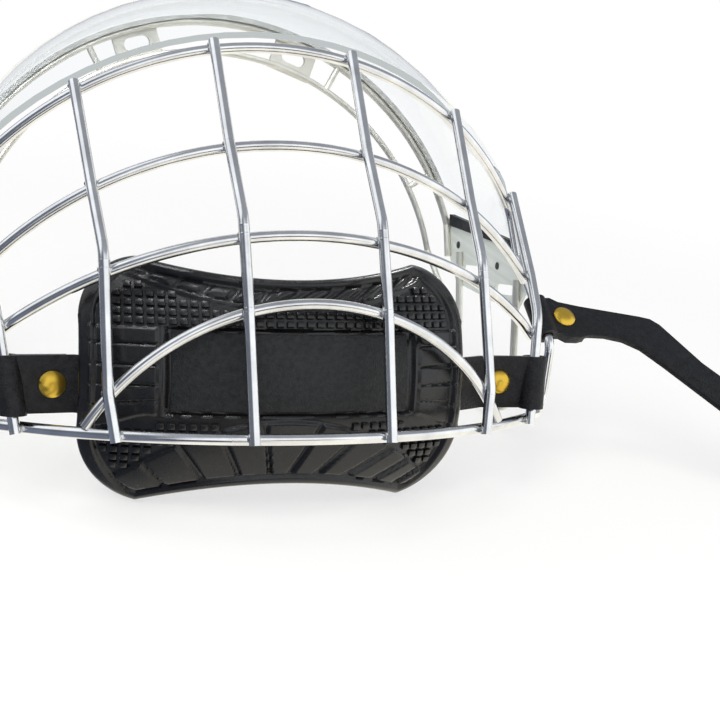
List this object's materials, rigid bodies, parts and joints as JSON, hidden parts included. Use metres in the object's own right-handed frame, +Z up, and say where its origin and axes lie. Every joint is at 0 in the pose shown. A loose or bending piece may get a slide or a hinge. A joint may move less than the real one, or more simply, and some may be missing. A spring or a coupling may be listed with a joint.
{
  "type": "hockey face cage with visor",
  "caption": "Bowed wire face cage with a clear half visor, slotted side plates, rear hoops, a moulded chin cup and press-stud straps.",
  "frame": {"origin": "centre of the bounding box on the table it rests on", "axes": "+X to the wearer's left, -Y the way the face looks, +Z up"},
  "size_m": [0.3464, 0.1602, 0.1349],
  "materials": {
    "steel": "polished stainless",
    "clear_visor": "clear polycarbonate",
    "rubber": "satin moulded",
    "leather": "fine grain",
    "brass": "polished",
    "edge_rubber": "satin"
  },
  "bodies": {
    "cage": {"bottom_frame_wire": "steel", "frame_side_left": "steel", "frame_side_right": "steel", "top_frame_wire": "steel", "chin_arch_wire": "steel", "lower_cross_wire": "steel", "upper_cross_wire": "steel", "upright_outer_left": "steel", "upright_middle_left": "steel", "upright_inner_left": "steel", "upright_inner_right": "steel", "upright_middle_right": "steel", "upright_outer_right": "steel", "rear_loop_left": "steel", "rear_loop_right": "steel", "outer_hoop_wire": "steel", "inner_hoop_wire": "steel", "hoop_links": "steel", "brow_lug_left": "steel", "brow_lug_right": "steel", "side_plate_left": "steel", "side_plate_right": "steel", "plate_trim_left": "edge_rubber", "plate_trim_right": "edge_rubber", "visor": "clear_visor", "visor_edge_trim": "edge_rubber", "visor_rivets": "steel", "rivet_washers": "steel"},
    "chin_strap_body": {"chin_strap": "leather", "chin_stud_caps": "brass", "chin_stud_sockets": "brass"},
    "chin_rest": {"chin_cup": "rubber", "cup_panel": "leather", "cup_rivets": "brass"},
    "side_strap_left_body": {"side_strap_left": "leather", "side_stud_cap_left": "brass", "side_stud_socket_left": "brass", "end_socket_left": "brass"},
    "side_strap_right_body": {"side_strap_right": "leather", "side_stud_cap_right": "brass", "side_stud_socket_right": "brass", "end_socket_right": "brass"}
  },
  "joints": [
    {"name": "chin_strap_slide", "type": "slide", "parent": "cage", "child": "chin_strap_body", "axis": [0, 0.458, 0.8889], "range_m": [0, 0.0024]},
    {"name": "chin_cup_shift", "type": "hinge", "parent": "chin_strap_body", "child": "chin_rest", "pos_m": [0, 0.05032, 0.01009], "axis": [0, 0.2554, 0.9668], "range_deg": [0, 6.7]},
    {"name": "side_strap_right_swing", "type": "hinge", "parent": "cage", "child": "side_strap_right_body", "pos_m": [0.09207, -0.02244, 0.04659], "axis": [-0.0226, 0.8324, 0.5538], "range_deg": [-50, 65]},
    {"name": "side_strap_left_swing", "type": "hinge", "parent": "cage", "child": "side_strap_left_body", "pos_m": [-0.09207, -0.02244, 0.04659], "axis": [-0.0226, -0.8324, -0.5538], "range_deg": [-50, 65]}
  ]
}
